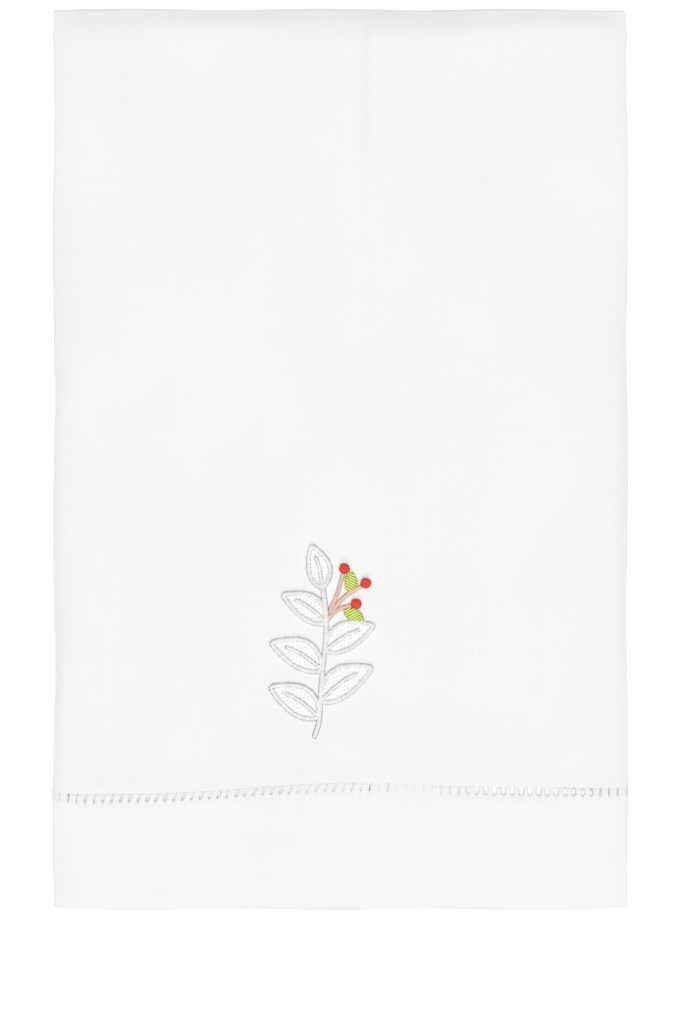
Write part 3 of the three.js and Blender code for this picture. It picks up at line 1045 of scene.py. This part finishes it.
def linen_material():
    """White plain-woven linen, a little fluffy, with painted shade in its weave's hollows and painted
    light in its double hems.
    """
    n = Nodes("linen")
    place, across, along = n.flat_place()
    height = weave_height(n, place, across, along)
    fluff = n.noise(place, FLUFF_CELL, 2)
    cloud = n.noise(place, CLOUD_CELL, 3)
    rough_height = n.math("MULTIPLY_ADD", fluff, FLUFF_SHARE, height)
    # Painted light: the double hems are paler, as less shade shows through two plies.
    before_front = n.math("LESS_THAN", along, FRONT_ROW)
    hem = n.math("ADD", before_front, n.math("GREATER_THAN", along, BACK_ROW))
    base_tone = n.math("MULTIPLY_ADD", hem, HEM_PAINTED_LIGHT, TONE_AT_LEAST)
    clouded = n.math("MULTIPLY_ADD", cloud, TONE_OF_CLOUDS, base_tone)
    # Painted shade: the weave's hollows are darker than its threads' crowns.
    tone = n.math("MULTIPLY_ADD", height, WEAVE_HOLLOW_SHADE, clouded)
    n.set(
        Base_Color=n.mix(tone, LINEN_DARK, LINEN_PALE),
        Normal=n.bump(rough_height, LINEN_RELIEF, 0.6),
        Roughness=0.92,
        Specular_IOR_Level=0.2,
        Sheen_Weight=0.1,
        Sheen_Roughness=0.5,
    )
    return n.material


def thread_material(name, colours, radius):
    """A twisted thread, with painted shade near its ends where it dives into the cloth."""
    n = Nodes(name)
    _, travelled, round_it = n.flat_place()
    tone = n.value("tone")
    # Painted shade: each thread is darker near its ends, where it dives into the cloth.
    end_shade = n.math("MULTIPLY", n.value("sunk"), n.math("MULTIPLY_ADD", tone, 0.8, 0.5))
    shade = n.math("MULTIPLY_ADD", tone, 0.12, end_shade)
    turns = n.math("MULTIPLY_ADD", travelled, 1 / (4 * radius), n.math("MULTIPLY", round_it, 2))
    plies = n.math("SINE", n.math("MULTIPLY", turns, 2 * math.pi))
    n.set(
        Base_Color=n.mix(n.math("MINIMUM", shade, 1), *colours),
        Normal=n.bump(plies, 0.2 * radius, 0.5),
        Roughness=0.5,
        Specular_IOR_Level=0.4,
        Sheen_Weight=0.15,
    )
    return n.material


def make_floor():
    """A plain white floor."""
    mesh = bpy.data.meshes.new("floor")
    half = FLOOR_HALF
    corners = [(-half, -half, 0), (half, -half, 0), (half, half, 0), (-half, half, 0)]
    mesh.from_pydata(corners, [], [(0, 1, 2, 3)])
    floor = bpy.data.objects.new("floor", mesh)
    bpy.context.scene.collection.objects.link(floor)
    n = Nodes("pale_floor")
    n.set(
        Base_Color=(0.95, 0.95, 0.95, 1),
        Roughness=0.9,
        Specular_IOR_Level=0.1,
        Emission_Color=(1, 1, 1, 1),
        Emission_Strength=FLOOR_GLOW,
    )
    mesh.materials.append(n.material)


def make_light(name, place, size, power):
    """A soft square lamp that faces the towel."""
    data = bpy.data.lights.new(name, "AREA")
    data.shape = "SQUARE"
    data.size = size
    data.energy = power
    lamp = bpy.data.objects.new(name, data)
    lamp.location = place
    lamp.rotation_mode = "QUATERNION"
    lamp.rotation_quaternion = (-Vector(place)).to_track_quat("-Z", "Y")
    bpy.context.scene.collection.objects.link(lamp)


def light_scene():
    """Soft light all round, a large lamp overhead, and one from the hem's side."""
    world = bpy.data.worlds.new("studio")
    world.use_nodes = True
    background = world.node_tree.nodes["Background"]
    background.inputs["Color"].default_value = (1, 1, 1, 1)
    background.inputs["Strength"].default_value = WORLD_STRENGTH
    bpy.context.scene.world = world
    for lamp in LAMPS:
        make_light(**lamp)
    bpy.context.scene.view_settings.view_transform = "Standard"


def make_camera():
    """Straight above the towel, framed as in the photograph."""
    data = bpy.data.cameras.new("camera")
    camera = bpy.data.objects.new("camera", data)
    bpy.context.scene.collection.objects.link(camera)
    bpy.context.scene.camera = camera
    data.lens = 90
    data.sensor_width = 36
    view_height = PHOTO_PIXELS / TOWEL_PIXELS * FOLDED_LENGTH
    camera.location = (*CAMERA_OVER, view_height * data.lens / data.sensor_width + STACK)


make_camera()
light_scene()
make_floor()
cloth = make_cloth()
strands = hemstitch_strands()
stitches = hemstitch_stitches()
sprig = embroidery()

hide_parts("towel")
for piece in (cloth, strands, stitches):
    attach(piece, "root")
for piece in sprig:
    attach(piece, "root")
